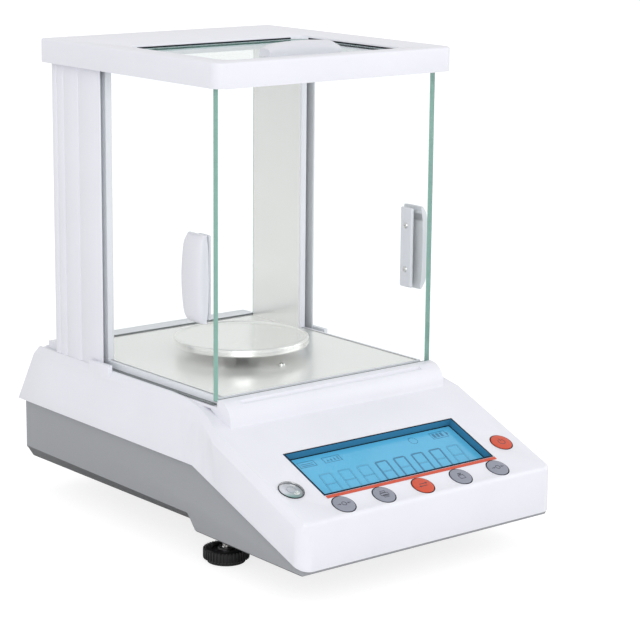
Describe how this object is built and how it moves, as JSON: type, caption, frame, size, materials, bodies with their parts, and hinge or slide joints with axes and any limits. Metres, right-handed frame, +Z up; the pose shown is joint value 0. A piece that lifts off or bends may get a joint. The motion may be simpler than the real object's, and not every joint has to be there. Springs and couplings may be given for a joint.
{
  "type": "analytical balance",
  "caption": "Bench analytical balance with a glass draft shield, sliding side doors and lid, round pan, sloped keypad with display, and levelling feet.",
  "frame": {"origin": "on the table under the middle of the bounding box", "axes": "+Z up, keypad faces -Y, +X to the right of someone facing the keypad"},
  "size_m": [0.224, 0.3455, 0.3467],
  "materials": {
    "casing_white": "satin",
    "tray_grey": "fine texture",
    "shield_glass": "clear",
    "stainless": "brushed",
    "bright_steel": "polished",
    "pan_steel": "satin",
    "aluminium": "machined",
    "cast_base": "painted",
    "black_rubber": "matt",
    "knob_black": "matt",
    "key_grey": "matt",
    "key_red": "matt",
    "bezel_black": "matt",
    "lcd_blue": "satin",
    "strip_red": "matt",
    "board_green": "satin",
    "vial_glass": "clear",
    "socket_black": "matt"
  },
  "bodies": {
    "root": {"lower_tray": "tray_grey", "upper_casing": "casing_white", "chamber_floor": "stainless", "floor_screw": "bright_steel", "cap_frame": "casing_white", "front_glass": "shield_glass", "rear_glass": "shield_glass", "load_cell": "aluminium", "cell_mount": "aluminium", "cell_base": "cast_base", "stop_screw": "bright_steel", "main_board": "board_green", "board_posts": "aluminium", "display_board": "board_green", "key_switches": "knob_black", "lcd_module": "bezel_black", "lcd_screen": "lcd_blue", "display_bezel": "bezel_black", "accent_strip": "strip_red", "level_cup": "bezel_black", "level_vial": "vial_glass", "dc_socket": "socket_black", "serial_port": "bright_steel", "casing_screws": "bright_steel", "rear_foot": "black_rubber", "left_pillar": "casing_white", "left_pillar_lining": "stainless", "left_pillar_cover": "casing_white", "right_pillar": "casing_white", "right_pillar_lining": "stainless", "right_pillar_cover": "casing_white"},
    "lid": {"lid_glass": "shield_glass", "lid_grip": "casing_white"},
    "load_receptor": {"load_receptor": "aluminium"},
    "pan": {"weighing_pan": "pan_steel", "pan_stem": "stainless"},
    "left_door": {"left_door_glass": "shield_glass", "left_door_grip": "casing_white", "left_door_plate": "casing_white", "left_door_screws": "bright_steel"},
    "left_foot": {"left_foot_pad": "black_rubber"},
    "left_foot_screw": {"left_foot_knob": "knob_black", "left_foot_stud": "bright_steel"},
    "right_door": {"right_door_glass": "shield_glass", "right_door_grip": "casing_white", "right_door_plate": "casing_white", "right_door_screws": "bright_steel"},
    "right_foot": {"right_foot_pad": "black_rubber"},
    "right_foot_screw": {"right_foot_knob": "knob_black", "right_foot_stud": "bright_steel"},
    "key_tare_left": {"key_tare_left": "key_grey"},
    "key_print": {"key_print": "key_grey"},
    "key_unit": {"key_unit": "key_red"},
    "key_cal": {"key_cal": "key_grey"},
    "key_tare_right": {"key_tare_right": "key_grey"},
    "key_power": {"key_power": "key_red"}
  },
  "joints": [
    {"name": "lid_slide", "type": "slide", "parent": "root", "child": "lid", "axis": [0, 1, 0], "range_m": [0, 0.07]},
    {"name": "receptor_travel", "type": "slide", "parent": "root", "child": "load_receptor", "axis": [0, 0, -1], "range_m": [0, 0.0004], "stiffness_N_per_m": 12000, "springref_m": -0.0004, "deforming": ["load_cell"]},
    {"name": "pan_lift", "type": "slide", "parent": "load_receptor", "child": "pan", "axis": [0, 0, 1], "range_m": [0, 0.03]},
    {"name": "left_door_slide", "type": "slide", "parent": "root", "child": "left_door", "axis": [0, 1, 0], "range_m": [0, 0.1]},
    {"name": "left_foot_lift", "type": "slide", "parent": "root", "child": "left_foot", "axis": [0, 0, 1], "range_m": [-0.003, 0.003]},
    {"name": "left_foot_turn", "type": "hinge", "parent": "left_foot", "child": "left_foot_screw", "pos_m": [-0.088, -0.06, 0.006], "axis": [0, 0, 1], "range_deg": [-1080, 1080]},
    {"name": "right_door_slide", "type": "slide", "parent": "root", "child": "right_door", "axis": [0, 1, 0], "range_m": [0, 0.1]},
    {"name": "right_foot_lift", "type": "slide", "parent": "root", "child": "right_foot", "axis": [0, 0, 1], "range_m": [-0.003, 0.003]},
    {"name": "right_foot_turn", "type": "hinge", "parent": "right_foot", "child": "right_foot_screw", "pos_m": [0.088, -0.06, 0.006], "axis": [0, 0, 1], "range_deg": [-1080, 1080]},
    {"name": "key_tare_left_press", "type": "slide", "parent": "root", "child": "key_tare_left", "axis": [0, 0.3778, -0.9259], "range_m": [0, 0.001], "stiffness_N_per_m": 700, "springref_m": -0.0006},
    {"name": "key_print_press", "type": "slide", "parent": "root", "child": "key_print", "axis": [0, 0.3778, -0.9259], "range_m": [0, 0.001], "stiffness_N_per_m": 700, "springref_m": -0.0006},
    {"name": "key_unit_press", "type": "slide", "parent": "root", "child": "key_unit", "axis": [0, 0.3778, -0.9259], "range_m": [0, 0.001], "stiffness_N_per_m": 700, "springref_m": -0.0006},
    {"name": "key_cal_press", "type": "slide", "parent": "root", "child": "key_cal", "axis": [0, 0.3778, -0.9259], "range_m": [0, 0.001], "stiffness_N_per_m": 700, "springref_m": -0.0006},
    {"name": "key_tare_right_press", "type": "slide", "parent": "root", "child": "key_tare_right", "axis": [0, 0.3778, -0.9259], "range_m": [0, 0.001], "stiffness_N_per_m": 700, "springref_m": -0.0006},
    {"name": "key_power_press", "type": "slide", "parent": "root", "child": "key_power", "axis": [0, 0.3778, -0.9259], "range_m": [0, 0.001], "stiffness_N_per_m": 700, "springref_m": -0.0006}
  ],
  "couplings": [
    {"joint": "left_foot_lift", "follows": "left_foot_turn", "m_per_rad": 0.000159},
    {"joint": "right_foot_lift", "follows": "right_foot_turn", "m_per_rad": 0.000159}
  ]
}
